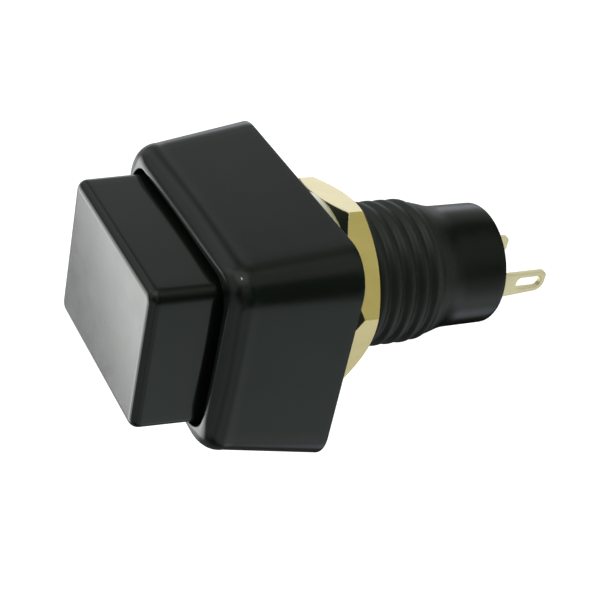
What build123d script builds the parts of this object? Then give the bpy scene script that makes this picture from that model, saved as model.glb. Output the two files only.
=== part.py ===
from build123d import *
import os, math

os.makedirs("parts", exist_ok=True)

# Frame: origin where the thread axis meets the rear face of the bezel (the face that sits on the panel).
# +Z points out of the panel toward the finger, X is the long side of the head. Millimetres.

# ---- bezel (rectangular surround) ----
BZ_REAR = (11.76, 9.38)      # half sides at the panel face
BZ_FRONT = (10.42, 7.84)     # half sides at the front rim
BZ_R_REAR, BZ_R_FRONT = 3.10, 2.24
BZ_H = 9.60
BZ_FILLET = 1.50
OPEN_HALF = (9.15, 6.68)     # opening the cap runs in
OPEN_R = 2.20
FLOOR_TOP = 2.20             # top of the bezel's floor
SPIGOT_R, SPIGOT_H = 5.75, 1.20   # spigot of the barrel, held in the bezel's socket
RELIEF_R, RELIEF_H = 6.02, 0.30    # clearance round the neck at the panel face

# ---- button cap ----
CAP_BOT, CAP_TOP = 5.60, 14.67
CAP_REAR = (8.45, 6.25)      # half sides at the cap's open end
CAP_FRONT = (8.14, 6.08)     # half sides at the front face
CAP_R = 0.95
CAP_FILLET = 0.75
CAP_WALL, CAP_ROOF = 1.20, 1.45
BOSS_R = 3.10
PIN_R = 1.80                 # plunger pin in the cap's boss

# ---- threaded barrel ----
NECK_R, NECK_L = 6.00, 1.50  # plain neck behind the bezel
THREAD_R, CORE_R = 5.92, 5.57
PITCH = 1.25
THREAD_END = -11.10          # full crests end here and fade into the plain barrel
FADE = [(5.90, -11.25), (5.80, -11.55), (5.67, -11.85), (5.57, -12.15), (5.50, -12.45), (5.43, -12.75),
        (5.34, -13.05), (5.24, -13.40), (5.15, -13.80), (5.10, -14.20)]
CREST_Z = -0.20              # crest height at azimuth 0, modulo the pitch
BARREL_R, BARREL_END = 5.08, -18.42
BORE_R = 4.00                # return spring bore
SEAT_TOP, SEAT_BOT, SEAT_R = -9.80, -10.60, 2.70
CHAMBER_R = 4.20             # contact chamber

# ---- plunger ----
TRAVEL = 3.00
KEY_R, KEY_FLAT = 2.50, 2.10
KEY_GAP = 0.12
SHOULDER_R = 3.85
SHOULDER_TOP, SHOULDER_BOT = 1.15, -1.00
STEM_R, STEM_BOT = 1.50, -7.60
TAIL_R, TAIL_BOT = 0.70, -12.70

# ---- springs ----
RS_MEAN, RS_WIRE = 3.22, 0.45
RS_TOP, RS_BOT, RS_TURNS = -1.00, -9.80, 6.5
CS_MEAN, CS_WIRE = 1.35, 0.30
CS_TOP, CS_BOT, CS_TURNS = -7.60, -11.60, 6.0

# ---- moving contact ----
BR_TOP, BR_T = -11.60, 0.30
BR_L, BR_W, BR_HOLE = 6.40, 2.20, 0.85
TIP_X, TIP_R, TIP_T = 2.30, 0.65, 0.35
RET_R, RET_TOP, RET_T = 1.10, -11.92, 0.40

# ---- base, terminals, potting ----
BASE_R = 4.17
BASE_TOP, BASE_BOT = -15.35, -17.70
POCKET_R, POCKET_BOT = 1.50, -16.10
SEAL_BOT = -18.20
T_X, T_T = 2.92, 0.50                  # strip centre plane, thickness
T_ROOT = (-1.58, 0.46)                 # the strip's two edges inside the base
T_EDGE = 0.555                         # straight edge of the lug
T_LOW = (-1.62, -1.29)                 # tapered edge, at the shoulder and at the tip
T_SHOULDER, T_TIP = -19.86, -24.08
T_DY = {1: 0.0, -1: -0.22}             # the two strips sit slightly out of line with each other
T_TAB_IN = 1.55
T_TAB_Y = 0.75                           # the bent tab is wider than the strip, so that its contact tip is fully seated
T_CORNER, T_CORNER_LOW = 0.45, 0.92       # tip corners on the straight edge and on the tapered edge
EYE_Y, EYE_W, EYE_L, EYE_LAND, EYE_R = -0.40, 1.08, 2.48, 0.45, 0.44
FIX_TOP = -14.47

# ---- nut and lock washer ----
NUT_AF = 14.35
NUT_FRONT, NUT_REAR = -2.60, -5.27
NUT_TURN = math.degrees(-0.324)
NUT_BORE = 6.06
NUT_CH_FRONT, NUT_CH_REAR = 7.20, 6.86
WASH_FRONT, WASH_REAR = -2.03, -2.58
WASH_R, WASH_BORE = 7.20, 6.14


def cyl(r, z0, z1):
    return Pos(0, 0, (z0 + z1) / 2) * Cylinder(r, abs(z1 - z0))


def box(x0, x1, y0, y1, z0, z1):
    return Pos((x0 + x1) / 2, (y0 + y1) / 2, (z0 + z1) / 2) * Box(abs(x1 - x0), abs(y1 - y0), abs(z1 - z0))


def taper(half0, half1, z0, z1, r0, r1):
    a = Plane.XY.offset(z0) * RectangleRounded(2 * half0[0], 2 * half0[1], r0)
    b = Plane.XY.offset(z1) * RectangleRounded(2 * half1[0], 2 * half1[1], r1)
    return loft([a, b], ruled=True)


def top_edges(s, z):
    return [e for e in s.edges() if abs(e.center().Z - z) < 1e-3]


def rev(pts):
    return revolve(Plane.XZ * make_face(Polyline(*pts, close=True)), Axis.Z)


def double_d(r, flat, z0, z1):
    return cyl(r, z0, z1) & box(-r - 1, r + 1, -flat, flat, z0, z1)


def spring(mean, wire, z_top, z_bot, turns, closed=0.0):
    """Round-wire coil whose end faces are ground flat between its two seats."""
    r = wire / 2
    # the wire's centre line starts and ends half a wire inside the seats, where it is ground
    h = abs(z_top - z_bot) - wire * 0.55
    p = h / turns
    path = Helix(pitch=p, height=h, radius=mean, center=(0, 0, z_bot + wire * 0.275))
    prof = Plane(origin=path @ 0, z_dir=path % 0) * Circle(r)
    coil = sweep(prof, path=path, is_frenet=True)
    return coil & cyl(mean + wire, z_bot + 0.005, z_top - 0.005)


def save(shape, name, label=None):
    if isinstance(shape, (list, ShapeList)):
        shape = Compound(children=list(shape))
    shape.label = name
    export_step(shape, f"parts/{name}.step")
    bb = shape.bounding_box()
    print(f"{name:22s} solids {len(shape.solids())} vol {shape.volume:9.2f} "
          f"x {bb.min.X:7.2f} {bb.max.X:7.2f}  y {bb.min.Y:7.2f} {bb.max.Y:7.2f}  z {bb.min.Z:7.2f} {bb.max.Z:7.2f} valid {shape.is_valid}")


# ================= bezel =================
bezel = taper(BZ_REAR, BZ_FRONT, 0, BZ_H, BZ_R_REAR, BZ_R_FRONT)
bezel = fillet(top_edges(bezel, BZ_H), BZ_FILLET)
pocket = Plane.XY.offset(FLOOR_TOP) * RectangleRounded(2 * OPEN_HALF[0], 2 * OPEN_HALF[1], OPEN_R)
bezel -= extrude(pocket, BZ_H)
bezel -= cyl(RELIEF_R, -1, RELIEF_H)
bezel -= cyl(SPIGOT_R, -1, SPIGOT_H)                                   # socket for the barrel's spigot
bezel -= double_d(KEY_R + KEY_GAP, KEY_FLAT + KEY_GAP, 0, FLOOR_TOP + 1)  # keyed guide for the plunger
save(bezel, "bezel")

# ================= button cap =================
cap = taper(CAP_REAR, CAP_FRONT, CAP_BOT, CAP_TOP, CAP_R, CAP_R)
cap = fillet(top_edges(cap, CAP_TOP), CAP_FILLET)
c0 = (CAP_REAR[0] - CAP_WALL, CAP_REAR[1] - CAP_WALL)
c1 = (CAP_FRONT[0] - CAP_WALL, CAP_FRONT[1] - CAP_WALL)
cap -= taper(c0, c1, CAP_BOT - 0.01, CAP_TOP - CAP_ROOF, 0.4, 0.4)
boss = cyl(BOSS_R, CAP_BOT, CAP_TOP - CAP_ROOF + 0.2)
ribs = box(-c1[0] - 0.1, c1[0] + 0.1, -0.4, 0.4, 9.0, CAP_TOP - CAP_ROOF + 0.2) \
    + box(-0.4, 0.4, -c1[1] - 0.1, c1[1] + 0.1, 9.0, CAP_TOP - CAP_ROOF + 0.2)
cap = cap + boss + ribs
cap -= cyl(PIN_R, CAP_BOT - 1, 11.6)
save(cap, "button_cap")

# ================= plunger =================
plunger = cyl(PIN_R, CAP_BOT, 11.4)
plunger += double_d(KEY_R, KEY_FLAT, SHOULDER_TOP - 0.1, CAP_BOT)
plunger += cyl(SHOULDER_R, SHOULDER_BOT, SHOULDER_TOP)
plunger += cyl(STEM_R, STEM_BOT, SHOULDER_BOT)
plunger += cyl(TAIL_R, TAIL_BOT, STEM_BOT)
save(plunger, "plunger")

# ================= threaded barrel =================
UNDERCUT = -2.62             # the thread starts behind a short relief
core = rev([(0, 0), (NECK_R, 0), (NECK_R, -NECK_L), (CORE_R - 0.02, -NECK_L), (CORE_R - 0.02, UNDERCUT + 0.25),
            (THREAD_R - 0.18, UNDERCUT + 0.25), (THREAD_R, UNDERCUT), (THREAD_R, THREAD_END)] + FADE
           + [(BARREL_R, -14.60), (BARREL_R, BARREL_END + 0.10), (BARREL_R - 0.10, BARREL_END), (0, BARREL_END)])
# the thread is a rounded groove on a right-hand helix, half a pitch away from the crest
groove_z = CREST_Z - PITCH / 2
z_start = groove_z - math.ceil((groove_z - (THREAD_END - 0.9)) / PITCH) * PITCH
path = Helix(pitch=PITCH, height=-2.0 - z_start, radius=THREAD_R, center=(0, 0, z_start))
D = THREAD_R - CORE_R
W_ROOT, W_TOP = 0.14, 0.44   # half widths of the groove at its floor and at the crest circle
plane = Plane(origin=path @ 0, x_dir=(1, 0, 0), z_dir=path % 0)
profile = plane * make_face(Polyline(
    (0.12, -W_TOP - 0.06), (0.0, -W_TOP), (-D * 0.80, -W_ROOT - 0.07), (-D * 0.97, -W_ROOT + 0.03), (-D, -W_ROOT * 0.4),
    (-D, W_ROOT * 0.4), (-D * 0.97, W_ROOT - 0.03), (-D * 0.80, W_ROOT + 0.07), (0.0, W_TOP), (0.12, W_TOP + 0.06), close=True))
groove = sweep(profile, path=path, is_frenet=True)
barrel = core - groove
barrel += cyl(SPIGOT_R, -0.01, SPIGOT_H)
barrel -= cyl(BORE_R, SEAT_TOP, SPIGOT_H + 1)
barrel -= cyl(SEAT_R, SEAT_BOT - 0.1, SEAT_TOP + 0.1)
barrel -= cyl(CHAMBER_R, BARREL_END - 1, SEAT_BOT)
save(barrel, "threaded_barrel")

# ================= springs =================
save(spring(RS_MEAN, RS_WIRE, RS_TOP, RS_BOT, RS_TURNS), "return_spring")
save(spring(CS_MEAN, CS_WIRE, CS_TOP, CS_BOT, CS_TURNS), "contact_spring")

# ================= moving contact =================
bridge = box(-BR_L / 2, BR_L / 2, -BR_W / 2, BR_W / 2, BR_TOP - BR_T, BR_TOP)
bridge = fillet(bridge.edges().filter_by(Axis.Z), 0.5)
bridge -= cyl(BR_HOLE, BR_TOP - 1, BR_TOP + 1)
save(bridge, "contact_bridge")
b0 = BR_TOP - BR_T
tips = [Pos(s * TIP_X, 0, 0) * cyl(TIP_R, b0 - TIP_T, b0) for s in (-1, 1)]
tips = [fillet([e for e in t.edges() if abs(e.center().Z - (b0 - TIP_T)) < 1e-3], 0.15) for t in tips]
save(tips, "moving_contact_tips")
ret = cyl(RET_R, RET_TOP - RET_T, RET_TOP)
ret = chamfer([e for e in ret.edges() if abs(e.center().Z - (RET_TOP - RET_T)) < 1e-3], 0.12)
ret -= cyl(TAIL_R, RET_TOP - 1, RET_TOP + 1)
save(ret, "bridge_retainer")

# ================= terminals =================


def terminal(side):
    """Strip with a tapered, slotted lug outside and a tab bent inward over the base."""
    dy = T_DY[side]
    pts = [(T_ROOT[0], BASE_TOP), (T_ROOT[0], T_SHOULDER + 0.12), (T_LOW[0], T_SHOULDER), (T_LOW[1], T_TIP), (T_EDGE, T_TIP),
           (T_EDGE, T_SHOULDER), (T_ROOT[1], T_SHOULDER + 0.12), (T_ROOT[1], BASE_TOP)]
    face = make_face(Polyline(*pts, close=True))
    strip = extrude(Plane.YZ.offset(T_X - T_T / 2) * face, T_T)
    corner = [e for e in strip.edges().filter_by(Axis.X) if abs(e.center().Z - T_TIP) < 1e-3]
    strip = fillet([e for e in corner if e.center().Y > 0], T_CORNER)
    corner = [e for e in strip.edges().filter_by(Axis.X) if abs(e.center().Z - T_TIP) < 1e-3 and e.center().Y < -1]
    strip = fillet(corner, T_CORNER_LOW)
    zc = T_TIP + EYE_LAND + EYE_L / 2
    strip -= extrude(Plane(origin=(T_X - 1, EYE_Y, zc), x_dir=(0, 1, 0), z_dir=(1, 0, 0)) * RectangleRounded(EYE_W, EYE_L, EYE_R), 2)
    tab = box(T_TAB_IN, T_X + T_T / 2, T_ROOT[0], T_TAB_Y - dy, BASE_TOP, BASE_TOP + T_T)
    s = strip + tab
    out = [e for e in s.edges().filter_by(Axis.Y) if abs(e.center().Z - (BASE_TOP + T_T)) < 1e-3
           and abs(e.center().X - (T_X + T_T / 2)) < 1e-3]
    s = Pos(0, dy, 0) * fillet(out, 0.35)
    return s if side > 0 else s.mirror(Plane.YZ)


term_near, term_far = terminal(1), terminal(-1)
save(term_near, "terminal_left")
save(term_far, "terminal_right")
f0 = BASE_TOP + T_T
ftips = [Pos(s * TIP_X, 0, 0) * cyl(TIP_R, f0, FIX_TOP) for s in (-1, 1)]
ftips = [fillet([e for e in t.edges() if abs(e.center().Z - FIX_TOP) < 1e-3], 0.12) for t in ftips]
save(ftips, "fixed_contact_tips")

# ================= terminal base and potting =================
slots = [box(s * (T_X - T_T / 2), s * (T_X + T_T / 2), T_ROOT[0] + T_DY[s], T_ROOT[1] + T_DY[s], -20, -14) for s in (-1, 1)]
base = cyl(BASE_R, BASE_BOT, BASE_TOP) - cyl(POCKET_R, POCKET_BOT, BASE_TOP + 1)
for s in slots:
    base -= s
save(base, "terminal_base")
seal = cyl(CHAMBER_R, SEAL_BOT, BASE_BOT)
for s in slots:
    seal -= s
save(seal, "base_seal")

# ================= nut and lock washer =================
hexa = extrude(Plane.XY.offset(NUT_REAR) * RegularPolygon(NUT_AF / 2, 6, major_radius=False), NUT_FRONT - NUT_REAR)
# the flats' normals start at azimuth 0 before the turn below
flat0 = min(hexa.faces().filter_by(Axis.Z, reverse=True), key=lambda f: abs(math.atan2(f.center().Y, f.center().X)))
hexa = Rot(0, 0, -math.degrees(math.atan2(flat0.center().Y, flat0.center().X)) + NUT_TURN) * hexa
T30 = math.tan(math.radians(30))
far = 9.2
cone = rev([(0, NUT_FRONT), (NUT_CH_FRONT, NUT_FRONT), (far, NUT_FRONT - (far - NUT_CH_FRONT) * T30),
            (far, NUT_REAR + (far - NUT_CH_REAR) * T30), (NUT_CH_REAR, NUT_REAR), (0, NUT_REAR)])
nut = hexa & cone
nut -= cyl(NUT_BORE, NUT_REAR - 1, NUT_FRONT + 1)
nut -= rev([(0, NUT_FRONT + 0.01), (NUT_BORE + 0.31, NUT_FRONT + 0.01), (NUT_BORE, NUT_FRONT - 0.30), (0, NUT_FRONT - 0.30)])
nut -= rev([(0, NUT_REAR - 0.01), (NUT_BORE + 0.31, NUT_REAR - 0.01), (NUT_BORE, NUT_REAR + 0.30), (0, NUT_REAR + 0.30)])
save(nut, "panel_nut")

washer = cyl(WASH_R, WASH_REAR, WASH_FRONT) - cyl(WASH_BORE, WASH_REAR - 1, WASH_FRONT + 1)
for k in range(10):
    notch = Rot(0, 0, 18 + k * 36) * box(WASH_BORE - 0.3, WASH_BORE + 0.42, -0.55, 0.55, WASH_REAR - 1, WASH_FRONT + 1)
    washer -= notch
save(washer, "lock_washer")
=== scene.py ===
import bpy, bmesh, math
import numpy as np
from mathutils import Vector, Matrix


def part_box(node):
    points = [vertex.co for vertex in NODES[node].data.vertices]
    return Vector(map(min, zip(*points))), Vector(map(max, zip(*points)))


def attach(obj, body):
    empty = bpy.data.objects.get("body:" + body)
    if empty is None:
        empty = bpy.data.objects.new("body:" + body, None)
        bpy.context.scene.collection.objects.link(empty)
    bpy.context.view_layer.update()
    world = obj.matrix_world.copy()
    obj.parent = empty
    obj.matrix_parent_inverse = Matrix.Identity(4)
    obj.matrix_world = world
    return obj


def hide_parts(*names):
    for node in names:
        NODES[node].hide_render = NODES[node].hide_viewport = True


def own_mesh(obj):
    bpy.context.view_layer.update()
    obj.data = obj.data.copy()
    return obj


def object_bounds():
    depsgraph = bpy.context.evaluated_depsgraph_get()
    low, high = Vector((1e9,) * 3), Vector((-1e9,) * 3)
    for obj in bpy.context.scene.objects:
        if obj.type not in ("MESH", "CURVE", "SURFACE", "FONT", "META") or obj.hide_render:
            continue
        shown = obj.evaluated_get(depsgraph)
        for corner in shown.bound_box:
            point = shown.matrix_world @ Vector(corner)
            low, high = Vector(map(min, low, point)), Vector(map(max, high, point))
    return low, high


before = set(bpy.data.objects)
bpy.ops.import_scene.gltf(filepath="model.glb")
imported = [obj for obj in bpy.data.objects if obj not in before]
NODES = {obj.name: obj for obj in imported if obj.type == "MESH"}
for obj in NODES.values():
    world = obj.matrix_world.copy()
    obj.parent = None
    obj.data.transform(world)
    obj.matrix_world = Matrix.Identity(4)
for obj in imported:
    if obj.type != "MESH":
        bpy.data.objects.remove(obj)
cad_box = [[float(c) for c in v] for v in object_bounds()]
MM = 0.001
SC = bpy.context.scene
COL = SC.collection


# ------------------------------------------------------------------ helpers
def mm_box(node):
    lo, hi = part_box(node)
    return [c / MM for c in lo], [c / MM for c in hi]


def add_object(name, verts, faces, mat, body, sharp_deg=32.0):
    me = bpy.data.meshes.new(name)
    me.from_pydata([tuple(v) for v in verts], [], [tuple(f) for f in faces])
    me.validate()
    bm = bmesh.new()
    bm.from_mesh(me)
    bmesh.ops.remove_doubles(bm, verts=bm.verts, dist=2e-7)
    bmesh.ops.recalc_face_normals(bm, faces=bm.faces)
    bm.to_mesh(me)
    bm.free()
    smooth_by_angle(me, sharp_deg)
    ob = bpy.data.objects.new(name, me)
    COL.objects.link(ob)
    me.materials.append(mat)
    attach(ob, body)
    return ob


def smooth_by_angle(me, deg):
    me.polygons.foreach_set("use_smooth", [True] * len(me.polygons))
    bm = bmesh.new()
    bm.from_mesh(me)
    lim = math.radians(deg)
    for e in bm.edges:
        e.smooth = not (len(e.link_faces) == 2 and e.calc_face_angle(0.0) > lim)
    bm.to_mesh(me)
    bm.free()


def bridge_rings(rings, closed=False, cap_first=None, cap_last=None):
    """Rings of equal length, in mm, joined in order. cap_first and cap_last are centre points."""
    n = len(rings[0])
    verts = [(p[0] * MM, p[1] * MM, p[2] * MM) for r in rings for p in r]
    faces = []
    m = len(rings)
    for i in range(m if closed else m - 1):
        a, b = i * n, ((i + 1) % m) * n
        for j in range(n):
            k = (j + 1) % n
            faces.append((a + j, a + k, b + k, b + j))
    for cap, base in ((cap_first, 0), (cap_last, (m - 1) * n)):
        if cap is not None:
            verts.append(tuple(c * MM for c in cap))
            c = len(verts) - 1
            for j in range(n):
                faces.append((base + j, base + (j + 1) % n, c))
    return verts, faces


NA, NS = 14, 18  # points on each corner arc and each straight side


def rrect(hx, hy, r, z):
    """Rounded rectangle outline with straight sides subdivided."""
    r = max(min(r, hx - 0.05, hy - 0.05), 0.02)
    pts = []
    corners = [(1, 1, 0), (-1, 1, 90), (-1, -1, 180), (1, -1, 270)]
    for k, (sx, sy, a0) in enumerate(corners):
        for i in range(NA):
            a = math.radians(a0 + 90 * i / (NA - 1))
            pts.append((sx * (hx - r) + r * math.cos(a), sy * (hy - r) + r * math.sin(a), z))
        nx, ny, b0 = corners[(k + 1) % 4]
        s = pts[-1]
        b = math.radians(b0)
        e = (nx * (hx - r) + r * math.cos(b), ny * (hy - r) + r * math.sin(b), z)
        for i in range(1, NS + 1):
            t = i / (NS + 1)
            pts.append((s[0] + (e[0] - s[0]) * t, s[1] + (e[1] - s[1]) * t, z))
    return pts


def like(ring, radius, z):
    """A circle, or any polar outline, with one point at each point's azimuth of the ring."""
    out = []
    for p in ring:
        a = math.atan2(p[1], p[0])
        r = radius(a) if callable(radius) else radius
        out.append((r * math.cos(a), r * math.sin(a), z))
    return out


def circle(n, r, z):
    return [(r * math.cos(2 * math.pi * i / n), r * math.sin(2 * math.pi * i / n), z) for i in range(n)]


def smoothstep(t):
    t = min(max(t, 0.0), 1.0)
    return t * t * (3 - 2 * t)


# ------------------------------------------------------------------ materials
class Nodes:
    """Small builder for a Principled material with procedural inputs."""

    def __init__(self, name):
        self.m = bpy.data.materials.new(name)
        self.m.use_nodes = True
        self.t = self.m.node_tree
        self.t.nodes.clear()
        self.out = self.t.nodes.new("ShaderNodeOutputMaterial")
        self.p = self.t.nodes.new("ShaderNodeBsdfPrincipled")
        self.t.links.new(self.p.outputs[0], self.out.inputs[0])
        self.co = self.t.nodes.new("ShaderNodeTexCoord").outputs["Object"]

    def mapping(self, scale):
        n = self.t.nodes.new("ShaderNodeMapping")
        n.inputs["Scale"].default_value = scale
        self.t.links.new(self.co, n.inputs["Vector"])
        return n.outputs[0]

    def noise(self, scale, detail=4.0, rough=0.55, distort=0.0, vec=None):
        n = self.t.nodes.new("ShaderNodeTexNoise")
        n.inputs["Scale"].default_value = scale
        n.inputs["Detail"].default_value = detail
        n.inputs["Roughness"].default_value = rough
        n.inputs["Distortion"].default_value = distort
        self.t.links.new(vec or self.co, n.inputs["Vector"])
        return n.outputs[0]

    def voronoi(self, scale, vec=None, feature="F1"):
        n = self.t.nodes.new("ShaderNodeTexVoronoi")
        n.feature = feature
        n.inputs["Scale"].default_value = scale
        self.t.links.new(vec or self.co, n.inputs["Vector"])
        return n.outputs["Distance"]

    def ramp(self, fac, stops, interp="LINEAR"):
        n = self.t.nodes.new("ShaderNodeValToRGB")
        n.color_ramp.interpolation = interp
        while len(n.color_ramp.elements) < len(stops):
            n.color_ramp.elements.new(0.5)
        for e, (pos, c) in zip(n.color_ramp.elements, stops):
            e.position = pos
            e.color = (*c, 1) if isinstance(c, (tuple, list)) else (c, c, c, 1)
        self.t.links.new(fac, n.inputs[0])
        return n.outputs[0]

    def remap(self, v, a, b, c, d):
        n = self.t.nodes.new("ShaderNodeMapRange")
        for i, x in enumerate((a, b, c, d)):
            n.inputs[i + 1].default_value = x
        self.t.links.new(v, n.inputs[0])
        return n.outputs[0]

    def mix(self, fac, a, b, mode="MIX"):
        n = self.t.nodes.new("ShaderNodeMix")
        n.data_type = "RGBA"
        n.blend_type = mode
        if isinstance(fac, (int, float)):
            n.inputs[0].default_value = fac
        else:
            self.t.links.new(fac, n.inputs[0])
        for i, x in ((6, a), (7, b)):
            if isinstance(x, (tuple, list)):
                n.inputs[i].default_value = (*x, 1)
            else:
                self.t.links.new(x, n.inputs[i])
        return n.outputs[2]

    def math(self, op, a, b=0.0):
        n = self.t.nodes.new("ShaderNodeMath")
        n.operation = op
        for i, x in enumerate((a, b)):
            if isinstance(x, (int, float)):
                n.inputs[i].default_value = x
            else:
                self.t.links.new(x, n.inputs[i])
        return n.outputs[0]

    def bump(self, height, strength, dist, chain=None):
        n = self.t.nodes.new("ShaderNodeBump")
        n.inputs["Strength"].default_value = strength
        n.inputs["Distance"].default_value = dist
        self.t.links.new(height, n.inputs["Height"])
        if chain is not None:
            self.t.links.new(chain, n.inputs["Normal"])
        return n.outputs[0]

    def separate(self, vec=None):
        n = self.t.nodes.new("ShaderNodeSeparateXYZ")
        self.t.links.new(vec or self.co, n.inputs[0])
        return n.outputs

    def link(self, out, socket):
        self.t.links.new(out, self.p.inputs[socket])
        return self

    def set(self, **kw):
        for k, v in kw.items():
            s = self.p.inputs[k.replace("_", " ")]
            s.default_value = (*v, 1) if isinstance(v, tuple) and len(v) == 3 and s.type == "RGBA" else v
        return self


def black_plastic(name, dark, light, rough_lo, rough_hi, grain, grain_strength, wave=0.10, matte=None):
    n = Nodes(name)
    # slow flow marks in the moulding, a fine tooled grain, and a few pale specks of dust
    flow = n.noise(180, 3, 0.5, 0.6)
    fine = n.noise(2600, 4, 0.6)
    base = n.ramp(n.math("ADD", n.math("MULTIPLY", flow, 0.7), n.math("MULTIPLY", fine, 0.3)), [(0.30, dark), (0.72, light)])
    dust = n.voronoi(700)
    speck = n.ramp(dust, [(0.0, 1.0), (0.045, 0.55), (0.075, 0.0)])
    sparse = n.ramp(n.noise(420, 1, 0.5), [(0.60, 0.0), (0.68, 1.0)])
    mask = n.math("MULTIPLY", speck, sparse)
    rough = n.remap(n.noise(520, 5, 0.6), 0.3, 0.7, rough_lo, rough_hi)
    if matte is not None:                                 # the threaded length is duller and dustier than the plain barrel
        z_lo, z_hi, more, dusty = matte
        part = n.remap(n.separate()[2], z_lo, z_hi, 0.0, 1.0)
        rough = n.math("ADD", rough, n.math("MULTIPLY", part, more))
        base = n.mix(part, base, n.ramp(n.math("ADD", n.math("MULTIPLY", flow, 0.5), n.math("MULTIPLY", fine, 0.5)), [(0.34, dusty[0]), (0.70, dusty[1])]))
    n.link(n.mix(mask, base, (0.055, 0.055, 0.050)), "Base Color")
    n.link(n.math("ADD", rough, n.math("MULTIPLY", mask, 0.35)), "Roughness")
    b1 = n.bump(n.noise(grain, 5, 0.62), grain_strength, 0.00003)
    b2 = n.bump(n.noise(95, 2, 0.5), wave, 0.0002, b1)
    n.link(b2, "Normal")
    n.set(IOR=1.5, Specular_Tint=(0.90, 1.0, 0.93))
    return n.m


def metal(name, lo, hi, rough_lo, rough_hi, streak=(900, 900, 60), streak_strength=0.25, spots=None, grain=1400, metallic=1.0, lacquer=0.0, lacquer_ior=1.5,
          lacquer_rough=0.1):
    n = Nodes(name)
    st = n.noise(1.0, 5, 0.6, 0.0, n.mapping(streak))
    cloud = n.noise(260, 4, 0.6, 0.4)
    col = n.ramp(n.math("ADD", n.math("MULTIPLY", st, 0.45), n.math("MULTIPLY", cloud, 0.55)), [(0.32, lo), (0.66, hi)])
    if spots is not None:
        fleck = n.ramp(n.noise(900, 6, 0.7), [(0.62, 0.0), (0.74, 0.7)])
        col = n.mix(fleck, col, spots)
    n.link(col, "Base Color")
    n.link(n.remap(n.math("ADD", n.math("MULTIPLY", st, 0.6), n.math("MULTIPLY", n.noise(grain, 4, 0.6), 0.4)), 0.3, 0.7, rough_lo, rough_hi), "Roughness")
    b1 = n.bump(st, streak_strength, 0.000012)
    n.link(n.bump(n.noise(grain, 4, 0.6), 0.18, 0.000015, b1), "Normal")
    n.set(Metallic=metallic, Coat_Weight=lacquer, Coat_IOR=lacquer_ior, Coat_Roughness=lacquer_rough)
    return n.m


M_CAP = black_plastic("cap_gloss_black", (0.0052, 0.0074, 0.0056), (0.0080, 0.0108, 0.0086), 0.070, 0.105, 3400, 0.04, wave=0.012)
M_BEZEL = black_plastic("bezel_gloss_black", (0.0055, 0.0078, 0.0060), (0.0085, 0.0114, 0.0092), 0.11, 0.18, 3000, 0.07, wave=0.05)
M_BARREL = black_plastic("barrel_satin_black", (0.0050, 0.0066, 0.0050), (0.0084, 0.0106, 0.0084), 0.17, 0.25, 2600, 0.12, wave=0.06,
                         matte=(-0.0133, -0.0119, 0.24, ((0.0075, 0.0095, 0.0075), (0.0150, 0.0180, 0.0148))))
M_RESIN = black_plastic("potting_resin", (0.008, 0.008, 0.008), (0.016, 0.015, 0.014), 0.12, 0.30, 900, 0.25)
M_NUT = metal("nut_plated_brass", (0.80, 0.66, 0.15), (0.92, 0.78, 0.22), 0.34, 0.46, (700, 700, 90), 0.16, (0.70, 0.52, 0.12), 1400, 0.50, 1.0, 2.35, 0.16)
M_NUT_BRIGHT = metal("nut_bright_chamfer", (0.80, 0.78, 0.52), (0.92, 0.90, 0.66), 0.10, 0.18, (260, 260, 900), 0.20, (0.74, 0.70, 0.42), 900)
M_LUG = metal("lug_pale_plated", (0.90, 0.84, 0.48), (0.97, 0.93, 0.58), 0.38, 0.50, (420, 420, 60), 0.14, (0.84, 0.78, 0.42), 2000, 0.45, 0.5, 1.6, 0.25)
M_WASHER = metal("washer_plated_steel", (0.84, 0.84, 0.64), (0.94, 0.94, 0.76), 0.34, 0.46, (500, 500, 500), 0.18, (0.70, 0.70, 0.50), 1400, 0.6, 0.4, 1.6, 0.25)
M_SPRING = metal("spring_wire", (0.52, 0.52, 0.53), (0.70, 0.70, 0.71), 0.20, 0.34, (300, 300, 300), 0.3)
M_COPPER = metal("bridge_copper_alloy", (0.68, 0.36, 0.22), (0.86, 0.52, 0.34), 0.24, 0.40, (120, 900, 900), 0.3, (0.42, 0.22, 0.15))
M_SILVER = metal("contact_silver", (0.78, 0.77, 0.74), (0.92, 0.91, 0.88), 0.18, 0.34, (500, 500, 500), 0.3, (0.50, 0.47, 0.42))
M_BRASS = metal("retainer_brass", (0.74, 0.56, 0.24), (0.90, 0.74, 0.38), 0.20, 0.34, (900, 900, 120), 0.3, (0.50, 0.36, 0.16))


def natural_plastic():
    n = Nodes("plunger_natural_acetal")
    n.link(n.ramp(n.noise(240, 4, 0.55, 0.3), [(0.3, (0.66, 0.64, 0.57)), (0.7, (0.78, 0.76, 0.70))]), "Base Color")
    n.link(n.remap(n.noise(700, 4, 0.6), 0.3, 0.7, 0.34, 0.48), "Roughness")
    n.link(n.bump(n.noise(2200, 4, 0.6), 0.15, 0.00003), "Normal")
    n.set(IOR=1.48, Subsurface_Weight=0.15, Subsurface_Radius=(0.001, 0.001, 0.0008), Subsurface_Scale=1.0)
    return n.m


def phenolic():
    n = Nodes("base_phenolic")
    n.link(n.ramp(n.noise(600, 6, 0.7), [(0.3, (0.022, 0.018, 0.014)), (0.72, (0.055, 0.042, 0.030))]), "Base Color")
    n.link(n.remap(n.noise(900, 4, 0.6), 0.3, 0.7, 0.42, 0.60), "Roughness")
    n.link(n.bump(n.noise(1800, 5, 0.65), 0.30, 0.00004), "Normal")
    return n.m


M_ACETAL, M_PHENOLIC = natural_plastic(), phenolic()


def dress(node, mat, deg=32.0):
    ob = NODES[node]
    ob.data.materials.clear()
    ob.data.materials.append(mat)


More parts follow.
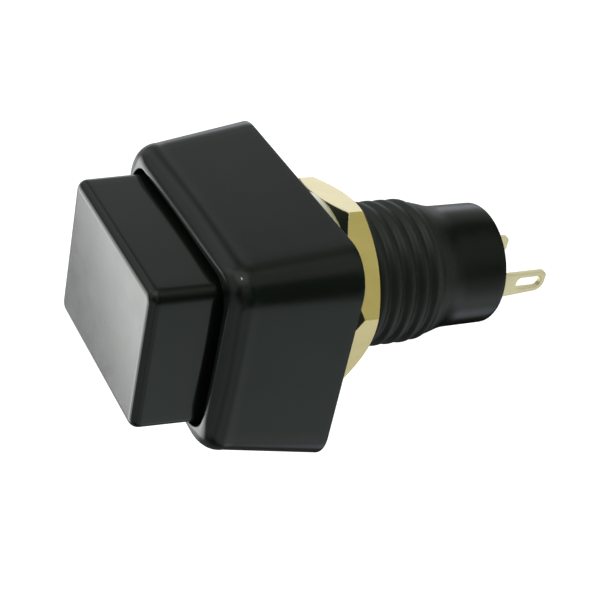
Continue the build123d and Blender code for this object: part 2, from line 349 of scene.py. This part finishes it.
# ------------------------------------------------------------------ bezel
lo, hi = mm_box("bezel")
BX1, BY1, BZH = hi[0], hi[1], hi[2]       # rear half sides and height
BX0, BY0 = BX1 - 1.34, BY1 - 1.54         # front half sides
R_REAR, R_FRONT, R_FIL = 3.10, 2.24, 1.80
OX, OY, OR = 9.15, 6.68, 2.20             # opening
FLOOR = 2.20
KEY_R, KEY_F = 2.62, 2.22


def key_hole(a):
    return min(KEY_R, KEY_F / max(abs(math.sin(a)), 1e-6))


def bezel_mesh():
    def outer(z, inset=0.0):
        k = z / BZH
        return rrect(BX1 + (BX0 - BX1) * k - inset, BY1 + (BY0 - BY1) * k - inset, R_REAR + (R_FRONT - R_REAR) * k - inset, z)
    rings = []
    rear = outer(0.0, 0.07)
    rings.append(like(rear, 6.02, 0.0))
    rings.append(like(rear, 7.0, 0.0))
    rings.append(rear)
    for i in range(1, 5):                                  # small rear edge rounding
        a = math.radians(90 * i / 4)
        rings.append(outer(0.07 * (1 - math.cos(a)), 0.07 * (1 - math.sin(a))))
    z0 = BZH - R_FIL
    for i in range(1, 17):
        rings.append(outer(0.07 + (z0 - 0.07) * i / 16))
    start = rings[-1]
    opening = rrect(OX, OY, OR, 0)
    lip = 0.12
    # front rounding: a true arc off the wall, any flat land left at the corners, then a rolled inner lip
    ends = []
    for p, q in zip(start, opening):
        dx, dy = q[0] - p[0], q[1] - p[1]
        full = math.hypot(dx, dy)
        c = max(0.0, (R_FIL + lip - full) / (R_FIL - lip))
        land = max(0.0, full - R_FIL - lip)
        ends.append((p, dx / full, dy / full, math.acos(c), land))
    for i in range(1, 19):
        ring = []
        for p, ux, uy, th_end, land in ends:
            th = th_end * i / 18
            d = R_FIL * (1 - math.cos(th))
            ring.append((p[0] + ux * d, p[1] + uy * d, z0 + R_FIL * math.sin(th)))
        rings.append(ring)
    for i in range(0, 8):                                  # rolled inner lip of the rim
        ring = []
        for p, ux, uy, th_end, land in ends:
            th = th_end + (math.pi - th_end) * (i + 0.02) / 7.02
            d = R_FIL * (1 - math.cos(th_end)) + lip * math.cos(th_end) + land - lip * math.cos(th)
            z = z0 + (R_FIL - lip) * math.sin(th_end) + lip * math.sin(th)
            ring.append((p[0] + ux * d, p[1] + uy * d, z))
        rings.append(ring)
    rim = rings[-1]
    for i in range(1, 9):
        t = i / 8
        rings.append([(p[0], p[1], p[2] + (FLOOR + 0.25 - p[2]) * t) for p in rim])
    for i in range(1, 5):                                  # cove at the pocket floor
        a = math.radians(90 * i / 4)
        rings.append(rrect(OX - 0.25 * (1 - math.cos(a)), OY - 0.25 * (1 - math.cos(a)), OR, FLOOR + 0.25 * (1 - math.sin(a))))
    base = rings[-1]
    rings.append(like(base, 5.0, FLOOR))
    rings.append(like(base, lambda a: key_hole(a) + 0.1, FLOOR))
    rings.append(like(base, key_hole, FLOOR - 0.1))
    rings.append(like(base, key_hole, 1.2))
    rings.append(like(base, 5.75, 1.2))
    rings.append(like(base, 5.75, 0.3))
    rings.append(like(base, 6.02, 0.3))
    return bridge_rings(rings, closed=True)


v, f = bezel_mesh()
bezel = add_object("bezel_moulding", v, f, M_BEZEL, "housing", 40)
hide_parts("bezel")

# ------------------------------------------------------------------ button cap
lo, hi = mm_box("button_cap")
CZ0, CZ1 = lo[2], hi[2]
CX1, CY1 = hi[0], hi[1]
CX0, CY0 = CX1 - 0.31, CY1 - 0.17
CR, CF, WALL = 0.95, 0.75, 1.20
ROOF = CZ1 - 1.45


def cap_mesh():
    def outer(z, inset=0.0):
        k = (z - CZ0) / (CZ1 - CZ0)
        return rrect(CX1 + (CX0 - CX1) * k - inset, CY1 + (CY0 - CY1) * k - inset, CR - inset * 0.9, z)

    def inner(z, inset=0.0):
        k = (z - CZ0) / (CZ1 - CZ0)
        return rrect(CX1 + (CX0 - CX1) * k - WALL - inset, CY1 + (CY0 - CY1) * k - WALL - inset, 0.45, z)
    rings = []
    ref = inner(ROOF)
    rings.append(like(ref, 1.80, 11.6))
    rings.append(like(ref, 1.80, CZ0 + 0.1))
    rings.append(like(ref, 1.90, CZ0))
    rings.append(like(ref, 3.00, CZ0))
    rings.append(like(ref, 3.10, CZ0 + 0.1))
    rings.append(like(ref, 3.10, ROOF - 0.25))
    rings.append(like(ref, 3.30, ROOF))
    rings.append(inner(ROOF, 0.2))
    rings.append(inner(ROOF - 0.2))
    rings.append(inner(CZ0 + 0.1))
    rings.append(inner(CZ0, -0.08))
    rings.append(outer(CZ0, 0.08))
    rings.append(outer(CZ0 + 0.03, 0.02))
    rings.append(outer(CZ0 + 0.10))
    z0 = CZ1 - CF
    for i in range(1, 19):
        rings.append(outer(CZ0 + 0.1 + (z0 - CZ0 - 0.1) * i / 18))
    for i in range(1, 15):
        a = math.radians(90 * i / 14)
        z = z0 + CF * math.sin(a)
        rings.append(outer(z, CF * (1 - math.cos(a))))
    # front face: closed by shrinking rounded rectangles, sunk a few microns at the middle as moulded faces are
    last = outer(CZ1, CF)
    wx, wy = max(p[0] for p in last), max(p[1] for p in last)

    def sink(x, y):
        return 0.004 * (1 - (x / wx) ** 2) * (1 - (y / wy) ** 2)
    for k in (0.992, 0.975, 0.95, 0.9, 0.82, 0.72, 0.6, 0.48, 0.36, 0.24, 0.12):
        rings.append([(p[0] * k, p[1] * k, CZ1 - sink(p[0] * k, p[1] * k)) for p in last])
    return bridge_rings(rings, cap_first=(0, 0, 11.6), cap_last=(0, 0, CZ1 - 0.004))


v, f = cap_mesh()
cap = add_object("button_cap_moulding", v, f, M_CAP, "button", 40)
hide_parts("button_cap")

# ------------------------------------------------------------------ threaded barrel
PITCH, CREST = 1.25, -0.20
T_R, T_DEPTH = 5.92, 0.33
lo, hi = mm_box("threaded_barrel")
B_END, B_TOP = lo[2], hi[2]
BAR_R = 5.08
FADE = [(-10.95, 5.92), (-11.25, 5.885), (-11.55, 5.79), (-11.85, 5.67), (-12.15, 5.565), (-12.45, 5.49), (-12.75, 5.42),
        (-13.05, 5.335), (-13.40, 5.24), (-13.80, 5.155), (-14.20, 5.10), (-14.60, BAR_R)]


def groove(theta, z):
    """0 on a crest, 1 at the groove's floor, on a right-hand helix with rounded crests."""
    s = ((z - CREST) / PITCH - theta / (2 * math.pi)) % 1.0     # 0 and 1 on the crest
    u = abs(s - 0.5) * PITCH                                    # distance from the groove's middle
    return 0.72 * (1.0 - smoothstep((u - 0.03) / 0.46)) + 0.28 * (0.5 + 0.5 * math.cos(2 * math.pi * u / PITCH))


def run_out(z):
    if z >= FADE[0][0]:
        return T_R
    for (za, ra), (zb, rb) in zip(FADE, FADE[1:]):
        if z >= zb:
            return ra + (rb - ra) * (za - z) / (za - zb)
    return BAR_R


def envelope(z):
    """Run-out profile, with its corners rounded off."""
    if z > -10.6:
        return T_R
    k = [(j, 1.0 - abs(j) / 7.0) for j in range(-6, 7)]
    return sum(w * run_out(z + j * 0.05) for j, w in k) / sum(w for _, w in k)


def barrel_mesh(n=288):
    ang = [2 * math.pi * i / n for i in range(n)]

    def ring(r, z):
        return circle(n, r, z)
    rings = [ring(4.0, B_TOP), ring(5.70, B_TOP), ring(5.75, B_TOP - 0.05), ring(5.75, 0.0), ring(5.95, 0.0), ring(6.0, -0.05),
             ring(6.0, -1.45), ring(5.95, -1.5), ring(5.55, -1.5), ring(5.55, -2.3)]
    z = -2.36
    while z > -14.7:
        start = smoothstep((-2.36 - z) / 0.4)
        fade = smoothstep((z + 12.35) / 1.3)
        env = min(envelope(z), 5.55 + (T_R - 5.55) * start)
        rings.append([(r * math.cos(a), r * math.sin(a), z) for a, r in ((a, max(env - T_DEPTH * groove(a, z) * fade, BAR_R)) for a in ang)])
        z -= 0.05
    for k in range(1, 8):
        rings.append(ring(BAR_R, -14.7 + (B_END + 0.09 + 14.7) * k / 7))
    for i in range(1, 5):
        a = math.radians(90 * i / 4)
        rings.append(ring(BAR_R - 0.09 * (1 - math.cos(a)), B_END + 0.09 * (1 - math.sin(a))))
    rings += [ring(4.28, B_END), ring(4.2, B_END + 0.08), ring(4.2, -10.6), ring(2.7, -10.6), ring(2.7, -9.8), ring(4.0, -9.8)]
    return bridge_rings(rings, closed=True)


v, f = barrel_mesh()
barrel = add_object("threaded_barrel_moulding", v, f, M_BARREL, "housing", 38)
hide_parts("threaded_barrel")

# ------------------------------------------------------------------ panel nut
lo, hi = mm_box("panel_nut")
N_REAR, N_FRONT = lo[2], hi[2]
AF2, PSI = 14.35 / 2, -0.324
T30 = math.tan(math.radians(30))


def soft_min(a, b, k):
    h = max(k - abs(a - b), 0.0) / k
    return min(a, b) - h * h * k * 0.25


def hex_r(a, blunt=0.10):
    rs = sorted(AF2 / max(math.cos(a - PSI - k * math.pi / 3), 1e-3) if math.cos(a - PSI - k * math.pi / 3) > 0.2 else 99.0 for k in range(6))
    return soft_min(rs[0], rs[1], blunt)


def nut_mesh():
    n = 720
    ang = [2 * math.pi * i / n for i in range(n)]
    hexs = [hex_r(a) for a in ang]
    f_r, r_r = 7.20, 6.86

    def bore(z, r):
        out = []
        for a in ang:
            s = ((z - CREST) / PITCH - a / (2 * math.pi)) % 1.0
            u = abs(s - 0.5) * PITCH
            rr = max(r, 6.06 + 0.0)
            rr = max(rr, 6.06 + 0.34 * smoothstep((u - 0.12) / 0.42))
            out.append((rr * math.cos(a), rr * math.sin(a), z))
        return out

    def at(z, cone):
        return [(min(h, cone) * math.cos(a) if h > cone + 0.06 else soft_min(h, cone, 0.06) * math.cos(a),
                 min(h, cone) * math.sin(a) if h > cone + 0.06 else soft_min(h, cone, 0.06) * math.sin(a), z) for a, h in zip(ang, hexs)]
    rings = [bore(N_REAR, 6.42), circle(n, 6.60, N_REAR)]
    rings.append(circle(n, r_r - 0.04, N_REAR))
    rings.append(circle(n, r_r, N_REAR + 0.012))
    top = 8.30
    steps = 26
    for i in range(1, steps + 1):
        c = r_r + (top - r_r) * i / steps
        rings.append(at(N_REAR + (c - r_r) * T30, c))
    for i in range(steps, 0, -1):
        c = f_r + (top - f_r) * i / steps
        rings.append(at(N_FRONT - (c - f_r) * T30, c))
    rings.append([(min(f_r, h) * math.cos(a), min(f_r, h) * math.sin(a), N_FRONT - 0.012) for a, h in zip(ang, hexs)])
    rings.append([(min(f_r - 0.04, h - 0.04) * math.cos(a), min(f_r - 0.04, h - 0.04) * math.sin(a), N_FRONT) for a, h in zip(ang, hexs)])
    rings.append(circle(n, 6.60, N_FRONT))
    rings.append(bore(N_FRONT, 6.42))
    z = N_FRONT - 0.04
    while z > N_REAR + 0.02:
        edge = min(N_FRONT - z, z - N_REAR)
        rings.append(bore(z, 6.42 - edge))
        z -= 0.08
    return bridge_rings(rings, closed=True)


v, f = nut_mesh()
nut = add_object("panel_nut_machined", v, f, M_NUT, "nut", 14)
nut.data.materials.append(M_NUT_BRIGHT)                    # the turned chamfers are brighter than the flats
for q in nut.data.polygons:
    if 0.35 < abs(q.normal.z) < 0.97:
        q.material_index = 1
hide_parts("panel_nut")


# ------------------------------------------------------------------ flat stampings from outlines
def stamping(name, outer, holes, thick, soft, plane, mat, body, slot, deg=35):
    """A flat blank with rounded edges. outer and holes are 2-D outlines in mm, plane maps (u, v, w) to x, y, z in mm."""
    cu = bpy.data.curves.new(name + "_outline", "CURVE")
    cu.dimensions = "2D"
    cu.fill_mode = "BOTH"
    cu.extrude = (thick / 2 - soft) * MM
    cu.bevel_depth = soft * MM
    cu.bevel_resolution = 3
    cu.offset = -soft * MM
    for loop in [outer] + holes:
        sp = cu.splines.new("POLY")
        sp.points.add(len(loop) - 1)
        for pt, (a, b) in zip(sp.points, loop):
            pt.co = (a * MM, b * MM, 0, 1)
        sp.use_cyclic_u = True
    tmp = bpy.data.objects.new(name + "_tmp", cu)
    COL.objects.link(tmp)
    bpy.context.view_layer.update()
    dg = bpy.context.evaluated_depsgraph_get()
    me = bpy.data.meshes.new_from_object(tmp.evaluated_get(dg))
    verts = [plane(p.co.x / MM, p.co.y / MM, p.co.z / MM) for p in me.vertices]
    faces = [tuple(p.vertices) for p in me.polygons]
    bpy.data.objects.remove(tmp)
    bpy.data.curves.remove(cu)
    bpy.data.meshes.remove(me)
    return [(a * MM, b * MM, c * MM) for a, b, c in verts], faces


def arc(cx, cy, r, a0, a1, n=10):
    return [(cx + r * math.cos(math.radians(a0 + (a1 - a0) * i / n)), cy + r * math.sin(math.radians(a0 + (a1 - a0) * i / n))) for i in range(n + 1)]


# ---- lock washer
lo, hi = mm_box("lock_washer")
W0, W1, WR = lo[2], hi[2], hi[0]
outer = arc(0, 0, WR - 0.001, 0, 360, 180)[:-1]
inner = []
for k in range(10):
    c = k * 36
    inner += arc(0, 0, 6.14, c - 12.6, c + 12.6, 10)
    inner += arc(0, 0, 6.54, c + 13.8, c + 22.2, 6)
wz = (W0 + W1) / 2
v, f = stamping("lock_washer_stamped", outer, [inner[::-1]], W1 - W0, 0.07, lambda a, b, c: (a, b, wz + c), M_WASHER, "washer", "lock_washer")
washer = add_object("lock_washer_stamped", v, f, M_WASHER, "washer", 35)
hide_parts("lock_washer")

# ---- solder lugs
lo, hi = mm_box("terminal_left")
T_TIP, T_TOP = lo[2], hi[2]
X_OUT = hi[0]
THICK = 0.50
X_MID = X_OUT - THICK / 2
R0, R1 = -1.58, 0.46                       # the strip's edges inside the base
LOW0, LOW1, EDGE = -1.62, -1.29, 0.555     # tapered edge at the shoulder and at the tip, and the straight edge
SH = -19.86
EYE_Y, EYE_W, EYE_L, EYE_LAND, EYE_R = -0.40, 1.08, 2.48, 0.45, 0.44
CORNER, CORNER_LOW, TAB_Y = 0.45, 0.92, 0.75
DY = {1: 0.0, -1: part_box("terminal_right")[0][1] / MM - lo[1]}


def lug(side, name, node):
    # outline: u along Y, v along Z
    dy = DY[side]
    o = [(R1, T_TOP - 0.30), (R1, SH + 0.30)]
    o += [(R1 + (EDGE - R1) * smoothstep(i / 8), SH + 0.30 - 0.42 * i / 8) for i in range(1, 9)]
    o += [(EDGE, T_TIP + 2.4), (EDGE, T_TIP + 1.2)]
    o += arc(EDGE - CORNER, T_TIP + CORNER, CORNER, 0, -90, 16)
    o += arc(LOW1 - 0.06 + CORNER_LOW, T_TIP + CORNER_LOW, CORNER_LOW, -90, -176, 16)
    o += [(LOW1 - 0.06 + (LOW0 - LOW1 + 0.06) * k, T_TIP + CORNER_LOW + (SH - T_TIP - CORNER_LOW) * k) for k in (0.2, 0.4, 0.6, 0.8, 0.95)]
    o += [(LOW0 + (R0 - LOW0) * smoothstep(i / 8), SH - 0.12 + 0.42 * i / 8) for i in range(0, 9)]
    o += [(R0, T_TOP - 0.30)]
    zc = T_TIP + EYE_LAND + EYE_L / 2
    eye = []
    for sx, sz, a0 in ((1, 1, 0), (-1, 1, 90), (-1, -1, 180), (1, -1, 270)):
        eye += arc(EYE_Y + sx * (EYE_W / 2 - EYE_R), zc + sz * (EYE_L / 2 - EYE_R), EYE_R, a0, a0 + 90, 10)
    s = 1 if side > 0 else -1
    v1, f1 = stamping(name, o, [eye[::-1]], THICK, 0.06, lambda a, b, c: (s * (X_MID + c), a + dy, b), M_LUG, "housing", node)
    # the tab that is bent inward over the base, inside the switch
    xi, xo, zt = 1.55, X_OUT, T_TOP
    prof = [(xi, zt)] + [(xo - 0.35 + 0.35 * math.sin(math.radians(a)), zt - 0.35 + 0.35 * math.cos(math.radians(a))) for a in range(0, 91, 15)] + [(xo, zt - 0.62)]
    prof += [(xo - THICK, zt - 0.62), (xo - THICK, zt - THICK - 0.02), (xo - THICK - 0.02, zt - THICK), (xi, zt - THICK)]
    v2, f2 = [], []
    for y in (R0, R0 + 0.06, TAB_Y - dy - 0.06, TAB_Y - dy):
        for px, pz in prof:
            v2.append((s * px * MM, (y + dy) * MM, pz * MM))
    m = len(prof)
    for i in range(3):
        for j in range(m):
            k = (j + 1) % m
            f2.append((i * m + j, i * m + k, (i + 1) * m + k, (i + 1) * m + j))
    f2.append(tuple(range(m)))
    f2.append(tuple(range(3 * m, 4 * m)))
    off = len(v1)
    return add_object(name, v1 + v2, f1 + [tuple(i + off for i in q) for q in f2], M_LUG, "housing", 35)


lug_l = lug(1, "solder_lug_left", "terminal_left")
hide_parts("terminal_left")
lug_r = lug(-1, "solder_lug_right", "terminal_right")
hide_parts("terminal_right")


# ------------------------------------------------------------------ springs
def coil(name, mean, wire, z_top, z_bot, active, dead, mat, body):
    """Round-wire coil with close-wound end turns, whose wire stays between its two seats."""
    turns = active + 2 * dead
    n = int(turns * 36)
    z0, z1 = z_bot + wire / 2 + 0.01, z_top - wire / 2 - 0.01
    pitch_dead = wire * 1.02
    span = (z1 - z0) - 2 * dead * pitch_dead
    pts = []
    for i in range(n + 1):
        t = turns * i / n
        if t < dead:
            z = z0 + pitch_dead * t
        elif t > turns - dead:
            z = z1 - pitch_dead * (turns - t)
        else:
            k = (t - dead) / active
            z = z0 + pitch_dead * dead + span * k
        pts.append((t * 2 * math.pi, z))
    zs = [p[1] for p in pts]
    zs = [zs[0]] * 8 + zs + [zs[-1]] * 8                      # eases the change of pitch
    sm = [sum(zs[i:i + 17]) / 17 for i in range(len(pts))]
    m = 14
    rings = []
    for i, (a, _) in enumerate(pts):
        j0, j1 = max(i - 1, 0), min(i + 1, len(pts) - 1)
        c = Vector((mean * math.cos(a), mean * math.sin(a), min(max(sm[i], z0), z1)))
        tan = Vector((-mean * math.sin(a), mean * math.cos(a), (sm[j1] - sm[j0]) / max(pts[j1][0] - pts[j0][0], 1e-6))).normalized()
        e1 = Vector((math.cos(a), math.sin(a), 0))
        e2 = tan.cross(e1).normalized()
        rings.append([tuple(c + e1 * (wire / 2 * math.cos(2 * math.pi * q / m)) + e2 * (wire / 2 * math.sin(2 * math.pi * q / m))) for q in range(m)])
    c0 = Vector((mean * math.cos(pts[0][0]), mean * math.sin(pts[0][0]), sm[0]))
    c1 = Vector((mean * math.cos(pts[-1][0]), mean * math.sin(pts[-1][0]), sm[-1]))
    v, f = bridge_rings(rings, cap_first=tuple(c0), cap_last=tuple(c1))
    ob = add_object(name, v, f, mat, body, 50)
    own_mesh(ob)
    return ob


lo, hi = mm_box("return_spring")
rs = coil("return_spring_coil", 3.22, 0.45, hi[2], lo[2], 5.0, 1.0, M_SPRING, "housing")
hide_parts("return_spring")
lo, hi = mm_box("contact_spring")
cs = coil("contact_spring_coil", 1.35, 0.30, hi[2], lo[2], 4.5, 1.0, M_SPRING, "button")
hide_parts("contact_spring")

# ------------------------------------------------------------------ carried-over CAD nodes
dress("plunger", M_ACETAL)
dress("contact_bridge", M_COPPER)
dress("moving_contact_tips", M_SILVER)
dress("fixed_contact_tips", M_SILVER)
dress("bridge_retainer", M_BRASS)
dress("terminal_base", M_PHENOLIC)


# potting: a poured surface that climbs slightly at the wall and at the lugs
def seal_mesh():
    lo, hi = mm_box("base_seal")
    z_lo, z_hi, R = lo[2], hi[2], 4.19
    n = 96
    rings = []
    verts, faces = [], []
    steps = 44

    def dist_lug(x, y):
        d = 9.0
        for s in (-1, 1):
            dx = max(abs(x - s * X_MID) - THICK / 2, 0.0)
            dy = max(abs(y - (R0 + R1) / 2 - DY[s]) - (R1 - R0) / 2, 0.0)
            d = min(d, math.hypot(dx, dy))
        return d
    for i in range(steps + 1):
        r = R * i / steps
        ring = []
        for j in range(n):
            a = 2 * math.pi * j / n
            x, y = r * math.cos(a), r * math.sin(a)
            climb = 0.16 * math.exp(-(R - r) / 0.22) + 0.14 * math.exp(-dist_lug(x, y) / 0.22)
            wave = 0.012 * math.sin(1.9 * x + 0.7) * math.cos(1.6 * y - 0.4)
            ring.append((x, y, max(z_lo, z_lo + 0.17 - climb + wave)))
        rings.append(ring)
    rings = rings[1:]
    top = [(p[0], p[1], z_hi) for p in rings[-1]]
    rings.append(top)
    return bridge_rings(rings, cap_first=(0, 0, z_lo + 0.17), cap_last=(0, 0, z_hi))


v, f = seal_mesh()
seal = add_object("base_seal_poured", v, f, M_RESIN, "housing", 50)
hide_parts("base_seal")

# ------------------------------------------------------------------ floor, world, lights, camera
floor_me = bpy.data.meshes.new("floor")
g = 1.6
zf = cad_box[0][2] - 0.00002
floor_me.from_pydata([(-g, -g, zf), (g, -g, zf), (g, g, zf), (-g, g, zf)], [], [(0, 1, 2, 3)])
floor = bpy.data.objects.new("floor", floor_me)
COL.objects.link(floor)
fm = Nodes("floor_white")
fm.set(Base_Color=(0.12, 0.12, 0.12), Roughness=1.0, Emission_Color=(1.0, 1.0, 1.0), Emission_Strength=1.18)
fm.p.inputs["Specular IOR Level"].default_value = 0.0
floor_me.materials.append(fm.m)
floor.visible_glossy = False

# soft studio surroundings: round panels far away, each with azimuth, elevation, outer and inner angular radius, strength and colour
PANELS = [
    (0, -62, 40, 0, 0.13, (1, 1, 1)), (60, -30, 34, 0, 0.15, (1.05, 1.0, 0.85)), (150, -30, 34, 0, 0.30, (1, 1, 1)),
    (180, -30, 34, 0, 0.30, (1, 1, 1)), (300, -30, 34, 0, 0.24, (0.98, 1, 1.02)), (330, -30, 34, 0, 0.22, (0.98, 1, 1.02)),
    (75, 0, 34, 0, 0.24, (1.04, 1.0, 0.92)), (105, 0, 34, 0, 0.18, (1.04, 1.0, 0.92)), (135, 0, 34, 0, 0.09, (1, 1, 1)),
    (165, 0, 34, 0, 0.19, (1, 1, 1)), (195, 0, 34, 0, 0.33, (1, 1, 1)), (255, 0, 34, 0, 0.10, (1, 1, 1)),
    (315, 0, 34, 0, 0.355, (0.98, 1, 1.02)), (30, 28, 34, 0, 0.10, (1, 1, 1)), (60, 28, 34, 0, 0.23, (1, 1, 1)),
    (90, 28, 34, 0, 0.63, (1.02, 1, 0.97)), (120, 28, 34, 0, 0.10, (1, 1, 1)), (150, 28, 34, 0, 0.44, (0.99, 1, 1.02)),
    (240, 28, 34, 0, 0.11, (1, 1, 1)), (330, 28, 34, 0, 0.16, (1, 1, 1)), (120, 58, 40, 0, 0.48, (1, 1, 1)),
    (300, 58, 40, 0, 0.35, (0.98, 1, 1.03)), (0, -90, 40, 0, 0.16, (1, 1, 1)),
    (170, -27, 15, 5, 0.55, (0.94, 1, 1.24)), (-74, -27, 17, 5, 0.40, (0.97, 1, 1.20)), (-40, -45, 24, 8, 0.16, (1, 1, 1)),
    (-143.2, 14, 26, 12, 0.80, (1, 1, 1)),
]
# the bright window, a disc cut by a straight soft edge: centre, radii, strength, edge normal and edge limits
WINDOW = (-143, 32, 35, 15, 2.45, (0.1994, 0.2902, 0.936), -0.007, 0.012)

world = bpy.data.worlds.new("studio")
SC.world = world
world.use_nodes = True
wt = world.node_tree
wt.nodes.clear()
wdir = wt.nodes.new("ShaderNodeVectorMath")
wdir.operation = "NORMALIZE"
wt.links.new(wt.nodes.new("ShaderNodeTexCoord").outputs["Generated"], wdir.inputs[0])


def world_step(normal, lo_cos, hi_cos):
    d = wt.nodes.new("ShaderNodeVectorMath")
    d.operation = "DOT_PRODUCT"
    wt.links.new(wdir.outputs[0], d.inputs[0])
    d.inputs[1].default_value = normal
    r = wt.nodes.new("ShaderNodeMapRange")
    r.interpolation_type = "SMOOTHSTEP"
    wt.links.new(d.outputs["Value"], r.inputs[0])
    r.inputs[1].default_value, r.inputs[2].default_value = lo_cos, hi_cos
    return r.outputs[0]


def aim(az, el):
    a, e = math.radians(az), math.radians(el)
    return (math.cos(e) * math.cos(a), math.cos(e) * math.sin(a), math.sin(e))


def world_scaled(fac, strength, colour):
    m = wt.nodes.new("ShaderNodeVectorMath")
    m.operation = "SCALE"
    m.inputs[0].default_value = [strength * c for c in colour]
    wt.links.new(fac, m.inputs["Scale"])
    return m.outputs[0]


total = None
for az, el, r_out, r_in, strength, colour in PANELS:
    part = world_scaled(world_step(aim(az, el), math.cos(math.radians(r_out)), math.cos(math.radians(r_in))), strength, colour)
    if total is None:
        total = part
    else:
        add = wt.nodes.new("ShaderNodeVectorMath")
        wt.links.new(total, add.inputs[0])
        wt.links.new(part, add.inputs[1])
        total = add.outputs[0]
az, el, r_out, r_in, strength, edge, e0, e1 = WINDOW
both = wt.nodes.new("ShaderNodeMath")
both.operation = "MULTIPLY"
wt.links.new(world_step(aim(az, el), math.cos(math.radians(r_out)), math.cos(math.radians(r_in))), both.inputs[0])
wt.links.new(world_step(edge, e0, e1), both.inputs[1])
add = wt.nodes.new("ShaderNodeVectorMath")
wt.links.new(total, add.inputs[0])
wt.links.new(world_scaled(both.outputs[0], strength, (1, 1, 1)), add.inputs[1])
glow = wt.nodes.new("ShaderNodeBackground")
wt.links.new(add.outputs[0], glow.inputs[0])
plain = wt.nodes.new("ShaderNodeBackground")
plain.inputs[0].default_value = (1, 1, 1, 1)
pick = wt.nodes.new("ShaderNodeMixShader")
wt.links.new(wt.nodes.new("ShaderNodeLightPath").outputs["Is Camera Ray"], pick.inputs[0])
wt.links.new(glow.outputs[0], pick.inputs[1])
wt.links.new(plain.outputs[0], pick.inputs[2])
wt.links.new(pick.outputs[0], wt.nodes.new("ShaderNodeOutputWorld").inputs[0])


def area(name, direction, dist, size, power, color=(1, 1, 1), target=(0, 0, -0.003), size_y=None):
    d = Vector(direction).normalized()
    L = bpy.data.lights.new(name, "AREA")
    L.shape = "RECTANGLE"
    L.size = size
    L.size_y = size_y or size
    L.energy = power
    L.color = color
    o = bpy.data.objects.new(name, L)
    COL.objects.link(o)
    o.location = Vector(target) + d * dist
    o.rotation_euler = (-d).to_track_quat("-Z", "Y").to_euler()
    return o


area("sparkle_lamp", (0.089, 0.843, 0.530), 0.40, 0.02, 0.05)

cam = bpy.data.cameras.new("camera")
cam.sensor_width = 36.0
cam.lens = 86.659
cam.clip_start = 0.005
cam.clip_end = 10.0
co = bpy.data.objects.new("camera", cam)
COL.objects.link(co)
X = Vector((0.4299468, 0.1882931, -0.8830014))
Y = Vector((-0.5644722, 0.8193567, -0.1001287))
Z = Vector((0.7046395, 0.5414798, 0.458566))
m = Matrix((X, Y, Z)).transposed().to_4x4()
m.translation = Vector((0.0818926, 0.0609967, 0.0509284))
co.matrix_world = m
SC.camera = co
SC.view_settings.view_transform = "Standard"
SC.view_settings.look = "None"
